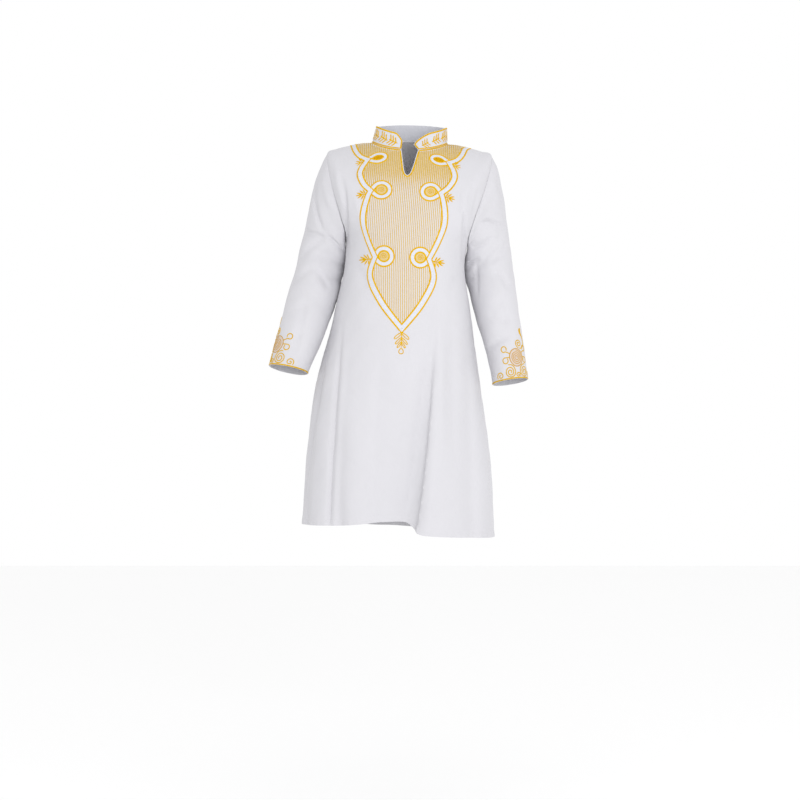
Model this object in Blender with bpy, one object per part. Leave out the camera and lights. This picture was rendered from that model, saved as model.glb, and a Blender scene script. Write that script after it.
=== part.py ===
"""A knee-length tunic dress with a stand collar, a neck slit and long set-in sleeves, as it hangs when worn.

Metres, +Z up. The front faces -Y and the wearer's left side is at +X. The origin lies between the
shoulders, just under the points where the collar meets the shoulder seams.
"""

import math
from collections import namedtuple

import bpy
from mathutils import Vector

# Cloth and seams
CLOTH = 0.0015
COLLAR_WALL = 0.0025
SEAM_ANGLE = math.radians(0.12)
SEAM_LEVELS = 0.012
ARMHOLE_SEAM = math.radians(0.2)
SEAM_ALONG = 0.020
NECK_SEAM = 0.016
COLLAR_LIFT = 0.0004
COLLAR_FOOT = 0.02
LONGEST_MITRE = 1.5
SHARP_ANGLE = math.radians(50)

# The body hangs in rings. Each has a half width, a depth in front of and behind the side seams, the heights
# of its side, front and back, the offset of its middle, and how far it drops towards +X for each metre.
Ring = namedtuple("Ring", "width front back side_z front_z back_z centre drop")
BODY = (
    Ring(0.0855, 0.072, 0.063, 0.009, -0.014, 0.022, 0.0015, 0.020),
    Ring(0.109, 0.086, 0.078, 0.007, -0.041, -0.002, 0.001, 0.020),
    Ring(0.136, 0.101, 0.089, 0.002, -0.073, -0.034, 0.000, 0.020),
    Ring(0.164, 0.114, 0.097, -0.005, -0.108, -0.070, 0.000, 0.018),
    Ring(0.189, 0.123, 0.102, -0.019, -0.142, -0.108, 0.001, 0.015),
    Ring(0.185, 0.131, 0.105, -0.085, -0.172, -0.150, -0.003, 0.040),
    Ring(0.164, 0.135, 0.105, -0.157, -0.200, -0.190, -0.005, 0.050),
    Ring(0.139, 0.134, 0.103, -0.215, -0.230, -0.226, -0.006, 0.055),
    Ring(0.1366, 0.131, 0.099, -0.275, -0.276, -0.275, -0.0094, 0.060),
    Ring(0.1450, 0.130, 0.099, -0.328, -0.328, -0.328, -0.0110, 0.062),
    Ring(0.1557, 0.132, 0.107, -0.382, -0.382, -0.382, -0.0133, 0.064),
    Ring(0.168, 0.137, 0.119, -0.450, -0.450, -0.450, -0.017, 0.065),
    Ring(0.187, 0.143, 0.130, -0.540, -0.540, -0.540, -0.0235, 0.065),
    Ring(0.2025, 0.149, 0.139, -0.640, -0.640, -0.640, -0.023, 0.065),
    Ring(0.214, 0.154, 0.146, -0.760, -0.760, -0.760, -0.0235, 0.065),
    Ring(0.2187, 0.158, 0.152, -0.871, -0.871, -0.871, -0.0248, 0.065),
)
NECK, SHOULDER_TIP, UNDERARM, HEM = 0, 4, 7, len(BODY) - 1
RING_POWER = 2 / 2.2
SHOULDER_FALL = 1.5

# Large folds of the skirt: each runs from a ring and an angle down to an angle at the hem, in degrees from
# the wearer's left side round by the front. A negative depth stands out as a ridge.
Fold = namedtuple("Fold", "start top_angle hem_angle depth to_left to_right lift")
FOLDS = (
    Fold(10.0, 66, 86.5, 0.036, 4.2, 26, 0.024),
    Fold(10.0, 122, 122, 0.000, 32, 32, 0.0070),
    Fold(10.5, 58, 73, -0.009, 12, 9, 0.000),
    Fold(11.0, 133, 128, 0.013, 7, 8, 0.000),
    Fold(9.0, 158, 163, 0.007, 6, 6, 0.000),
    Fold(8.0, 46, 42, 0.007, 9, 9, 0.000),
    Fold(10.0, -38, -34, 0.013, 8, 8, 0.000),
    Fold(9.5, -68, -72, 0.021, 9, 12, 0.000),
    Fold(10.0, -98, -104, 0.018, 11, 8, 0.000),
    Fold(10.5, -136, -140, 0.014, 8, 8, 0.000),
    Fold(9.5, -84, -88, -0.008, 9, 9, 0.000),
)
FOLD_GROWTH = 1.4

# The armholes are ovals round the sides of the rings from the shoulder tips to the underarms.
ARMHOLE_FRONT = math.radians(27)
ARMHOLE_BACK = math.radians(31)

# Neck slit
SLIT_FOOT = 2.03
SLIT_TOP_HALF = 0.0190
SLIT_FOOT_HALF = 0.0068
SLIT_ROUNDING = 10
SLIT_LEAN = -0.0040

# Stand collar: how it rises and leans in at its sides, front and back
COLLAR_HEIGHT_SIDE = 0.0383
COLLAR_HEIGHT_FRONT = 0.0372
COLLAR_HEIGHT_BACK = 0.0378
COLLAR_LEAN_SIDE = 0.0055
COLLAR_LEAN_FRONT = 0.0120
COLLAR_LEAN_BACK = 0.0020
COLLAR_SHIFT = 0.0045

# Each front corner of the collar is cut down over a reach from its end, and the end turns across the neck.
Corner = namedtuple("Corner", "cut reach power turn")
CORNERS = {1: Corner(0.0245, 0.040, 2.3, 0.0125), -1: Corner(0.0170, 0.022, 2.0, 0.0040)}
TURN_REACH = 0.022

# Sleeve sections from armhole to cuff: the outer and inner edge seen from the front, half the depth from
# front to back, the middle's place along Y, and the rise of the front edge for each metre of depth.
Section = namedtuple("Section", "outer_x outer_z inner_x inner_z depth middle_y pitch")
RIGHT_SLEEVE = (
    Section(0.189, -0.020, 0.146, -0.215, 0.055, 0.000, 0.00),
    Section(0.200, -0.042, 0.1460, -0.222, 0.056, 0.002, 0.00),
    Section(0.212, -0.070, 0.1446, -0.232, 0.057, 0.006, 0.00),
    Section(0.2225, -0.108, 0.1444, -0.246, 0.058, 0.015, 0.00),
    Section(0.2312, -0.148, 0.1456, -0.262, 0.058, 0.024, 0.02),
    Section(0.2394, -0.190, 0.1474, -0.279, 0.057, 0.029, 0.04),
    Section(0.251, -0.233, 0.1512, -0.298, 0.056, 0.026, 0.08),
    Section(0.2610, -0.278, 0.1570, -0.322, 0.054, 0.017, 0.12),
    Section(0.2732, -0.325, 0.1650, -0.352, 0.052, 0.004, 0.15),
    Section(0.2855, -0.371, 0.1760, -0.386, 0.050, -0.010, 0.17),
    Section(0.2960, -0.416, 0.1905, -0.424, 0.048, -0.024, 0.18),
    Section(0.3070, -0.459, 0.2085, -0.4690, 0.046, -0.034, 0.18),
    Section(0.3162, -0.498, 0.2290, -0.5155, 0.044, -0.043, 0.17),
)
LEFT_SLEEVE = (
    Section(0.190, -0.022, 0.133, -0.215, 0.055, 0.000, 0.00),
    Section(0.201, -0.043, 0.1330, -0.223, 0.056, 0.002, 0.00),
    Section(0.208, -0.070, 0.1318, -0.234, 0.057, 0.006, 0.00),
    Section(0.2160, -0.108, 0.1288, -0.248, 0.057, 0.015, 0.00),
    Section(0.2230, -0.148, 0.1274, -0.265, 0.057, 0.024, 0.02),
    Section(0.2285, -0.190, 0.1276, -0.283, 0.056, 0.029, 0.04),
    Section(0.2340, -0.234, 0.1298, -0.303, 0.054, 0.026, 0.08),
    Section(0.2390, -0.281, 0.1372, -0.330, 0.052, 0.017, 0.12),
    Section(0.2445, -0.331, 0.1465, -0.364, 0.050, 0.004, 0.15),
    Section(0.250, -0.381, 0.1560, -0.402, 0.047, -0.010, 0.17),
    Section(0.2575, -0.432, 0.169, -0.445, 0.045, -0.024, 0.18),
    Section(0.2637, -0.483, 0.180, -0.4945, 0.043, -0.034, 0.18),
    Section(0.2672, -0.5285, 0.1885, -0.5405, 0.041, -0.043, 0.15),
)
SLEEVE_HEAD = 2.5

# Sleeve creases: section, angle from the outer edge round by the front, slant and depth
Crease = namedtuple("Crease", "section angle slant depth long wide")
RIGHT_CREASES = (
    Crease(5.3, 105, -1.2, 0.0045, 75, 0.45),
    Crease(6.6, 140, -0.9, 0.0050, 60, 0.45),
    Crease(8.2, 95, 1.1, 0.0030, 60, 0.50),
    Crease(6.0, 255, 1.0, 0.0045, 70, 0.45),
    Crease(7.6, 235, -0.8, 0.0035, 60, 0.45),
)
LEFT_CREASES = (
    Crease(5.2, 80, 1.2, 0.0045, 70, 0.45),
    Crease(6.5, 120, -1.0, 0.0045, 60, 0.45),
    Crease(10.3, 120, 1.2, 0.0035, 50, 0.50),
    Crease(5.8, 260, -1.0, 0.0045, 70, 0.45),
    Crease(7.8, 240, 0.9, 0.0035, 60, 0.45),
)

# How finely the pieces are divided
ARMHOLE_STEPS = 9
FRONT_COLUMNS = 13
BACK_COLUMNS = 26
YOKE_LEVELS = (0.5, 1.0, 1.5, 1.85, SLIT_FOOT, 3.0)
SKIRT_STEP = 0.5
SLEEVE_STEP = 0.75
COLLAR_COLUMNS = 44
COLLAR_ROWS = 4
NUDGE = 1e-4

# Colours, linear, and roughness
WHITE = (0.80, 0.80, 0.82)
WARM_WHITE = (0.82, 0.80, 0.74)
CLOTH_ROUGHNESS = 0.8


def between(table, place):
    """The row at a fractional place in a table, on a smooth curve through its rows."""
    last = len(table) - 1
    place = min(max(place, 0.0), float(last))
    index = min(int(place), last - 1)
    t = place - index
    a, b, c, d = (table[min(max(index + k, 0), last)] for k in (-1, 0, 1, 2))
    mixed = (
        0.5 * (2 * q + (r - p) * t + (2 * p - 5 * q + 4 * r - s) * t * t + (3 * q - p - 3 * r + s) * t ** 3)
        for p, q, r, s in zip(a, b, c, d)
    )
    return type(table[0])(*mixed)


def eased(t):
    """From 0 to 1 with level ends."""
    t = min(max(t, 0.0), 1.0)
    return t * t * (3 - 2 * t)


def squared(value):
    """A cosine or sine, filled out so that a ring is a little squarer than an ellipse."""
    return math.copysign(abs(value) ** RING_POWER, value)


def fold_at(angle, level):
    """How far the large folds push the cloth in at a place on the body, and how far they lift it."""
    push = lift = 0.0
    degrees = math.degrees(angle)
    for fold in FOLDS:
        share = (level - fold.start) / (HEM - fold.start)
        if share <= 0:
            continue
        middle = fold.top_angle + (fold.hem_angle - fold.top_angle) * share
        away = (degrees - middle + 180) % 360 - 180
        wide = fold.to_right if away > 0 else fold.to_left
        bump = share ** FOLD_GROWTH * math.exp(-((away / wide) ** 2))
        push += fold.depth * bump
        lift += fold.lift * bump
    return push, lift


def body_point(angle, level):
    """A point on the outside of the body. The angle runs from the wearer's left side round by the front."""
    ring = between(BODY, level)
    facing = math.sin(angle)
    depth, end_z = (ring.front, ring.front_z) if facing >= 0 else (ring.back, ring.back_z)
    push, lift = fold_at(angle, level)
    across = (ring.width - push) * squared(math.cos(angle))
    fall = abs(facing) ** SHOULDER_FALL
    height = ring.side_z + (end_z - ring.side_z) * fall - ring.drop * across + lift
    return Vector((ring.centre + across, -(depth - push) * squared(facing), height))


def armhole_place(side, around):
    """The place on the body, as an angle and a ring, of a point on the armhole seam."""
    middle = (SHOULDER_TIP + UNDERARM) / 2
    half = (UNDERARM - SHOULDER_TIP) / 2
    reach = ARMHOLE_FRONT if math.sin(around) >= 0 else ARMHOLE_BACK
    turn = reach * math.sin(around)
    return (turn if side > 0 else math.pi - turn), middle - half * math.cos(around)


def sleeve_tube(side, around, along):
    """A point on the plain tube of a sleeve. Around runs from the outer edge (0) by the front."""
    section = between(LEFT_SLEEVE if side > 0 else RIGHT_SLEEVE, along)
    push = 0.0
    for crease in LEFT_CREASES if side > 0 else RIGHT_CREASES:
        away = (math.degrees(around) - crease.angle + 180) % 360 - 180
        line = along - crease.section - crease.slant * away / 90
        push += crease.depth * math.exp(-((away / crease.long) ** 2) - (line / crease.wide) ** 2)
    middle_x = (section.outer_x + section.inner_x) / 2
    middle_z = (section.outer_z + section.inner_z) / 2
    half_x = (section.outer_x - section.inner_x) / 2
    half_z = (section.outer_z - section.inner_z) / 2
    shrink = 1 - push / math.hypot(half_x, half_z)
    out, front = math.cos(around) * shrink, math.sin(around) * shrink
    return Vector((
        side * (middle_x + half_x * out),
        section.middle_y - section.depth * front,
        middle_z + half_z * out + section.pitch * section.depth * front,
    ))


def sleeve_point(side, around, along):
    """A point on the outside of a sleeve, which starts on the armhole seam and soon becomes a plain tube."""
    seam = body_point(*armhole_place(side, around)) - sleeve_tube(side, around, 0)
    return sleeve_tube(side, around, along) + seam * (1 - eased(along / SLEEVE_HEAD))


def collar_end(side):
    """The angle at which the collar and the slit's edge meet, on the wearer's left (1) or right (-1)."""
    ring = BODY[NECK]
    return math.pi / 2 - side * math.asin((SLIT_TOP_HALF / ring.width) ** (1 / RING_POWER))


def collar_point(angle, up):
    """A point on the outside of the collar, a share of the way up from its seam."""
    facing = math.sin(angle)
    front = facing >= 0
    height = COLLAR_HEIGHT_FRONT if front else COLLAR_HEIGHT_BACK
    lean = COLLAR_LEAN_FRONT if front else COLLAR_LEAN_BACK
    height = COLLAR_HEIGHT_SIDE + (height - COLLAR_HEIGHT_SIDE) * facing ** 2
    lean = COLLAR_LEAN_SIDE + (lean - COLLAR_LEAN_SIDE) * facing ** 2
    turn = 0.0
    if front:
        side = 1 if math.cos(angle) >= 0 else -1
        corner = CORNERS[side]
        from_end = side * (collar_end(side) - angle % (2 * math.pi)) * BODY[NECK].width
        height -= corner.cut * max(1 - max(from_end, 0.0) / corner.reach, 0.0) ** corner.power
        turn = corner.turn * math.exp(-((from_end / TURN_REACH) ** 2))
    base = body_point(angle, NECK)
    outward = Vector((math.cos(angle), -math.sin(angle), 0))
    rise = Vector(((COLLAR_SHIFT - turn) * up, 0, COLLAR_LIFT + (height - COLLAR_LIFT) * up))
    return base - outward * lean * up + rise


def normal_of(surface, u, v, sign=1):
    """The outward direction of a surface given by a function of two places."""
    along_u = surface(u + NUDGE, v) - surface(u - NUDGE, v)
    along_v = surface(u, v + NUDGE) - surface(u, v - NUDGE)
    return (along_u.cross(along_v) * sign).normalized()


def mitre(own, other, wall):
    """The way in from a seam that two walls share, long enough for a wall of full thickness."""
    shared = (own + other).normalized()
    return -shared * wall / max(shared.dot(own), 1 / LONGEST_MITRE)


def body_inward(angle, level, at_neck, arm):
    """The way from the outside of the body to its inside, shared with the neighbour along a seam."""
    inside = min(max(level, NUDGE), HEM - NUDGE)
    own = normal_of(body_point, angle, inside)
    if at_neck:
        return mitre(own, normal_of(collar_point, angle, COLLAR_FOOT, -1), CLOTH)
    if arm:
        side, around = arm
        return mitre(own, sleeve_normal(side, around, NUDGE), CLOTH)
    return -own * CLOTH


def sleeve_normal(side, around, along):
    """The outward direction of a sleeve."""
    return normal_of(lambda u, v: sleeve_point(side, u, v), around, along, side)


def slit_angle(side, level):
    """The angle of one edge of the slit, or of the middle line below it."""
    lean = SLIT_LEAN * min(level / SLIT_FOOT, 1.0) + side * slit_half(level)
    across = abs(lean) / between(BODY, level).width
    return math.pi / 2 - math.copysign(math.asin(across ** (1 / RING_POWER)), lean)


def slit_half(level):
    """Half the width of the neck slit at a ring, 0 below its foot."""
    share = level / SLIT_FOOT
    if share >= 1:
        return 0.0
    straight = SLIT_TOP_HALF + (SLIT_FOOT_HALF - SLIT_TOP_HALF) * share
    return straight * (1 - share ** SLIT_ROUNDING) ** 0.5


def panel_rows():
    """The rows of a body panel, from neck to hem, as (ring, place on the armhole seam or None)."""
    rows = [(NECK + NECK_SEAM, None)]
    rows += [(level, None) for level in YOKE_LEVELS]
    for step in range(ARMHOLE_STEPS + 1):
        rows.append((None, math.pi * step / ARMHOLE_STEPS))
    steps = round((HEM - UNDERARM) / SKIRT_STEP)
    rows += [(UNDERARM + SKIRT_STEP * step, None) for step in range(1, steps + 1)]
    return rows


def panel_edge(side, row, facing):
    """Where a row of a panel meets its side: the angle, the ring, and its place on the armhole seam."""
    level, on_armhole = row
    if on_armhole is None:
        angle = facing * SEAM_ANGLE
        arm = None
    else:
        reach = (ARMHOLE_FRONT if facing > 0 else ARMHOLE_BACK) + ARMHOLE_SEAM
        middle = (SHOULDER_TIP + UNDERARM) / 2
        half = (UNDERARM - SHOULDER_TIP) / 2 + SEAM_LEVELS
        level = middle - half * math.cos(on_armhole)
        angle = facing * max(reach * math.sin(on_armhole), SEAM_ANGLE)
        arm = (side, on_armhole if facing > 0 else 2 * math.pi - on_armhole)
    return (angle if side > 0 else math.pi - angle), level, arm


def wall_object(name, points, inward, faces, material, collection):
    """A closed wall: the faces through the outer points, the same through the inner points, and its rim."""
    count = len(points)
    sides = {}
    for face in faces:
        for start, end in zip(face, face[1:] + face[:1]):
            sides[(start, end)] = True
    rim = [
        (end, start, start + count, end + count)
        for start, end in sides
        if (end, start) not in sides
    ]
    inner = [tuple(i + count for i in reversed(face)) for face in faces]
    mesh = bpy.data.meshes.new(name)
    everything = [*points, *(p + way for p, way in zip(points, inward))]
    mesh.from_pydata(everything, [], [*faces, *inner, *rim])
    mesh.shade_smooth()
    mesh.set_sharp_from_angle(angle=SHARP_ANGLE)
    mesh.materials.append(material)
    piece = bpy.data.objects.new(name, mesh)
    collection.objects.link(piece)
    return piece


def grid_faces(ids, turned, closed=False):
    """The faces between rows of point numbers."""
    faces = []
    for upper, lower in zip(ids, ids[1:]):
        ends = zip(range(len(upper)), range(1, len(upper)))
        pairs = [*ends, (len(upper) - 1, 0)] if closed else ends
        for a, b in pairs:
            face = (upper[a], upper[b], lower[b], lower[a])
            faces.append(tuple(reversed(face)) if turned else face)
    return faces


def build_front(material, collection):
    """The front, in two halves that part at the neck slit and share their middle points below it."""
    points, inward, faces, middle = [], [], [], {}
    for side in (1, -1):
        ids = []
        for number, row in enumerate(panel_rows()):
            edge, level, arm = panel_edge(side, row, 1)
            end = slit_angle(side, level)
            below_slit = slit_half(level) == 0
            line = []
            for column in range(FRONT_COLUMNS + 1):
                share = column / FRONT_COLUMNS
                angle = edge + (end - edge) * share
                shared = column == FRONT_COLUMNS and below_slit
                if shared and number in middle:
                    line.append(middle[number])
                    continue
                place = panel_level(row, level, share)
                points.append(body_point(angle, place))
                at_seam = arm if column == 0 else None
                inward.append(body_inward(angle, place, number == 0, at_seam))
                line.append(len(points) - 1)
                if shared:
                    middle[number] = line[-1]
            ids.append(line)
        faces += grid_faces(ids, turned=side < 0)
    return wall_object("front", points, inward, faces, material, collection)


def panel_level(row, level, share):
    """Rows that start in the armhole's tight ends spread out evenly towards the middle of the panel."""
    if row[1] is None:
        return level
    even = SHOULDER_TIP + (UNDERARM - SHOULDER_TIP) * row[1] / math.pi
    return level + (even - level) * eased(share * 2)


def build_back(material, collection):
    """The back, in one width."""
    points, inward, ids = [], [], []
    for number, row in enumerate(panel_rows()):
        if row[0] == SLIT_FOOT:
            continue
        left, level, arm_left = panel_edge(1, row, -1)
        right, _, arm_right = panel_edge(-1, row, -1)
        right -= 2 * math.pi
        line = []
        for column in range(BACK_COLUMNS + 1):
            share = column / BACK_COLUMNS
            angle = left + (right - left) * share
            place = panel_level(row, level, min(share, 1 - share) * 2)
            arm = {0: arm_left, BACK_COLUMNS: arm_right}.get(column)
            points.append(body_point(angle, place))
            inward.append(body_inward(angle, place, number == 0, arm))
            line.append(len(points) - 1)
        ids.append(line)
    return wall_object("back", points, inward, grid_faces(ids, turned=True), material, collection)


def build_sleeve(side, name, material, collection):
    """One sleeve, a bent tube from the armhole seam to the cuff's hem."""
    points, inward, ids = [], [], []
    last = len(LEFT_SLEEVE) - 1
    steps = round(last / SLEEVE_STEP)
    for step in range(steps + 1):
        along = SEAM_ALONG + (last - SEAM_ALONG) * step / steps
        line = []
        for turn in range(2 * ARMHOLE_STEPS):
            around = math.pi * turn / ARMHOLE_STEPS
            points.append(sleeve_point(side, around, along))
            own = sleeve_normal(side, around, min(max(along, NUDGE), last - NUDGE))
            if step == 0:
                body = normal_of(body_point, *armhole_place(side, around))
                inward.append(mitre(own, body, CLOTH))
            else:
                inward.append(-own * CLOTH)
            line.append(len(points) - 1)
        ids.append(line)
    return wall_object(name, points, inward, grid_faces(ids, side < 0, closed=True), material, collection)


def build_collar(material, collection):
    """The stand collar, from one edge of the slit round the neck to the other."""
    points, inward, ids = [], [], []
    start, end = collar_end(1), collar_end(-1) - 2 * math.pi
    for row in range(COLLAR_ROWS + 1):
        up = row / COLLAR_ROWS
        line = []
        for column in range(COLLAR_COLUMNS + 1):
            angle = start + (end - start) * column / COLLAR_COLUMNS
            points.append(collar_point(angle, up))
            own = normal_of(collar_point, angle, max(up, COLLAR_FOOT), -1)
            if row == 0:
                body = normal_of(body_point, angle, NECK_SEAM)
                inward.append(mitre(own, body, COLLAR_WALL))
            else:
                inward.append(-own * COLLAR_WALL)
            line.append(len(points) - 1)
        ids.append(line)
    return wall_object("collar", points, inward, grid_faces(ids, turned=False), material, collection)


def cloth_material(name, colour):
    """A plain woven cloth."""
    material = bpy.data.materials.new(name)
    material.use_nodes = True
    shader = material.node_tree.nodes["Principled BSDF"]
    shader.inputs["Base Color"].default_value = (*colour, 1)
    shader.inputs["Roughness"].default_value = CLOTH_ROUGHNESS
    shader.inputs["Metallic"].default_value = 0
    material.diffuse_color = (*colour, 1)
    return material


def main():
    for thing in list(bpy.data.objects):
        bpy.data.objects.remove(thing)
    collection = bpy.data.collections.new("tunic_dress")
    bpy.context.scene.collection.children.link(collection)
    build_front(cloth_material("front_cloth", WHITE), collection)
    build_back(cloth_material("back_cloth", WHITE), collection)
    build_sleeve(-1, "sleeve_right", cloth_material("sleeve_right_cloth", WHITE), collection)
    build_sleeve(1, "sleeve_left", cloth_material("sleeve_left_cloth", WHITE), collection)
    build_collar(cloth_material("collar_cloth", WARM_WHITE), collection)


main()
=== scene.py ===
"""Looks of the tunic dress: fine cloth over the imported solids, raised embroidery, plain studio light and a camera.

Metres, +Z up. The front faces -Y and the wearer's left side is at +X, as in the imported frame. Side is 1 on the
wearer's left and -1 on the right. Facing is 1 for the front and -1 for the back.
"""
import math
from collections import namedtuple

import bpy
import numpy as np
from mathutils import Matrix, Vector
from mathutils.bvhtree import BVHTree


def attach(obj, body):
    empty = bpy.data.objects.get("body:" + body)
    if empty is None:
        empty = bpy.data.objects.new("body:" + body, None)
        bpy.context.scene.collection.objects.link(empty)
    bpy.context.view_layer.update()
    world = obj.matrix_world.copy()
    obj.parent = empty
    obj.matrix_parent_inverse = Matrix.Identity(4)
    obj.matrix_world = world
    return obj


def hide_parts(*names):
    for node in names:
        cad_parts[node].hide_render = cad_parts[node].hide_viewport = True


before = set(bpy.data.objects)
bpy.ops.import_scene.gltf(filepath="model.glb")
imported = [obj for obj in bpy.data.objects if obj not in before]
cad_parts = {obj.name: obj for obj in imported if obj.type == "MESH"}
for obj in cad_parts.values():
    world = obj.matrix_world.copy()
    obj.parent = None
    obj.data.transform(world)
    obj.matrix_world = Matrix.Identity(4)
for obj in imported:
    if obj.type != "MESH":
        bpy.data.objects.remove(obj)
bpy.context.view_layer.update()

MM = 0.001
CIRCLE = 2 * math.pi

# The camera stands where the photograph was taken from. Places on the front are given on the plane y = 0 as the
# camera sees them, in millimetres across (x) and up (z).
CAMERA = np.array((-0.0205, -4.307, -0.575))


def table(columns, *rows):
    """The rows of a short table with named columns."""
    kind = namedtuple("Row", columns)
    return [kind(*row) for row in rows]


# ---- The forms of the solids, from the same named values ----

CLOTH = 0.0012
COLLAR_WALL = 0.0024

BODY = table(
    "width front back side_z front_z back_z centre drop",
    (0.0855, 0.072, 0.063, 0.009, -0.014, 0.022, 0.0015, 0.020),
    (0.109, 0.086, 0.078, 0.007, -0.041, -0.002, 0.001, 0.020),
    (0.136, 0.101, 0.089, 0.002, -0.073, -0.034, 0.000, 0.020),
    (0.164, 0.114, 0.097, -0.005, -0.108, -0.070, 0.000, 0.018),
    (0.189, 0.123, 0.102, -0.019, -0.142, -0.108, 0.001, 0.015),
    (0.185, 0.131, 0.105, -0.085, -0.172, -0.150, -0.003, 0.040),
    (0.164, 0.135, 0.105, -0.157, -0.200, -0.190, -0.005, 0.050),
    (0.139, 0.134, 0.103, -0.215, -0.230, -0.226, -0.006, 0.055),
    (0.1366, 0.131, 0.099, -0.275, -0.276, -0.275, -0.0094, 0.060),
    (0.1450, 0.130, 0.099, -0.328, -0.328, -0.328, -0.0110, 0.062),
    (0.1557, 0.132, 0.107, -0.382, -0.382, -0.382, -0.0133, 0.064),
    (0.168, 0.137, 0.119, -0.450, -0.450, -0.450, -0.017, 0.065),
    (0.187, 0.143, 0.130, -0.540, -0.540, -0.540, -0.0235, 0.065),
    (0.2025, 0.149, 0.139, -0.640, -0.640, -0.640, -0.023, 0.065),
    (0.214, 0.154, 0.146, -0.760, -0.760, -0.760, -0.0235, 0.065),
    (0.2187, 0.158, 0.152, -0.871, -0.871, -0.871, -0.0248, 0.065),
)
SHOULDER_TIP, UNDERARM, HEM = 4, 7, len(BODY) - 1
RING_POWER = 2 / 2.2
SHOULDER_FALL = 1.5

FOLDS = table(
    "start top_angle hem_angle depth to_left to_right lift",
    (10.0, 66, 86.5, 0.036, 4.2, 26, 0.024),
    (10.0, 122, 122, 0.000, 32, 32, 0.0070),
    (10.5, 58, 73, -0.009, 12, 9, 0.000),
    (11.0, 133, 128, 0.013, 7, 8, 0.000),
    (9.0, 158, 163, 0.007, 6, 6, 0.000),
    (8.0, 46, 42, 0.007, 9, 9, 0.000),
    (10.0, -38, -34, 0.013, 8, 8, 0.000),
    (9.5, -68, -72, 0.021, 9, 12, 0.000),
    (10.0, -98, -104, 0.018, 11, 8, 0.000),
    (10.5, -136, -140, 0.014, 8, 8, 0.000),
    (9.5, -84, -88, -0.008, 9, 9, 0.000),
)
FOLD_GROWTH = 1.4
ARMHOLE_REACH = {1: math.radians(27), -1: math.radians(31)}

SLIT_FOOT = 2.03
SLIT_TOP_HALF = 0.0190
SLIT_FOOT_HALF = 0.0068
SLIT_ROUNDING = 10
SLIT_LEAN = -0.0040

# The collar's sizes at the sides, the front and the back.
COLLAR_HEIGHT = (0.0383, 0.0372, 0.0378)
COLLAR_LEAN = (0.0055, 0.0120, 0.0020)
COLLAR_LIFT = 0.0004
COLLAR_SHIFT = 0.0045
LEFT_CORNER, RIGHT_CORNER = table("cut reach power turn", (0.0245, 0.040, 2.3, 0.0125), (0.0170, 0.022, 2.0, 0.0040))
TURN_REACH = 0.022

SECTION = "outer_x outer_z inner_x inner_z depth middle_y pitch"
SLEEVE_FORMS = {
    -1: table(
        SECTION,
        (0.189, -0.020, 0.146, -0.215, 0.055, 0.000, 0.00),
        (0.200, -0.042, 0.1460, -0.222, 0.056, 0.002, 0.00),
        (0.212, -0.070, 0.1446, -0.232, 0.057, 0.006, 0.00),
        (0.2225, -0.108, 0.1444, -0.246, 0.058, 0.015, 0.00),
        (0.2312, -0.148, 0.1456, -0.262, 0.058, 0.024, 0.02),
        (0.2394, -0.190, 0.1474, -0.279, 0.057, 0.029, 0.04),
        (0.251, -0.233, 0.1512, -0.298, 0.056, 0.026, 0.08),
        (0.2610, -0.278, 0.1570, -0.322, 0.054, 0.017, 0.12),
        (0.2732, -0.325, 0.1650, -0.352, 0.052, 0.004, 0.15),
        (0.2855, -0.371, 0.1760, -0.386, 0.050, -0.010, 0.17),
        (0.2960, -0.416, 0.1905, -0.424, 0.048, -0.024, 0.18),
        (0.3070, -0.459, 0.2085, -0.4690, 0.046, -0.034, 0.18),
        (0.3162, -0.498, 0.2290, -0.5155, 0.044, -0.043, 0.17),
    ),
    1: table(
        SECTION,
        (0.190, -0.022, 0.133, -0.215, 0.055, 0.000, 0.00),
        (0.201, -0.043, 0.1330, -0.223, 0.056, 0.002, 0.00),
        (0.208, -0.070, 0.1318, -0.234, 0.057, 0.006, 0.00),
        (0.2160, -0.108, 0.1288, -0.248, 0.057, 0.015, 0.00),
        (0.2230, -0.148, 0.1274, -0.265, 0.057, 0.024, 0.02),
        (0.2285, -0.190, 0.1276, -0.283, 0.056, 0.029, 0.04),
        (0.2340, -0.234, 0.1298, -0.303, 0.054, 0.026, 0.08),
        (0.2390, -0.281, 0.1372, -0.330, 0.052, 0.017, 0.12),
        (0.2445, -0.331, 0.1465, -0.364, 0.050, 0.004, 0.15),
        (0.250, -0.381, 0.1560, -0.402, 0.047, -0.010, 0.17),
        (0.2575, -0.432, 0.169, -0.445, 0.045, -0.024, 0.18),
        (0.2637, -0.483, 0.180, -0.4945, 0.043, -0.034, 0.18),
        (0.2672, -0.5285, 0.1885, -0.5405, 0.041, -0.043, 0.15),
    ),
}
CUFF = len(SLEEVE_FORMS[1]) - 1
SLEEVE_HEAD = 2.5

BEND = "section angle slant depth long wide"
BENDS = {
    -1: table(
        BEND,
        (5.3, 105, -1.2, 0.0045, 75, 0.45),
        (6.6, 140, -0.9, 0.0050, 60, 0.45),
        (8.2, 95, 1.1, 0.0030, 60, 0.50),
        (6.0, 255, 1.0, 0.0045, 70, 0.45),
        (7.6, 235, -0.8, 0.0035, 60, 0.45),
    ),
    1: table(
        BEND,
        (5.2, 80, 1.2, 0.0045, 70, 0.45),
        (6.5, 120, -1.0, 0.0045, 60, 0.45),
        (10.3, 120, 1.2, 0.0035, 50, 0.50),
        (5.8, 260, -1.0, 0.0045, 70, 0.45),
        (7.8, 240, 0.9, 0.0035, 60, 0.45),
    ),
}

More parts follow.
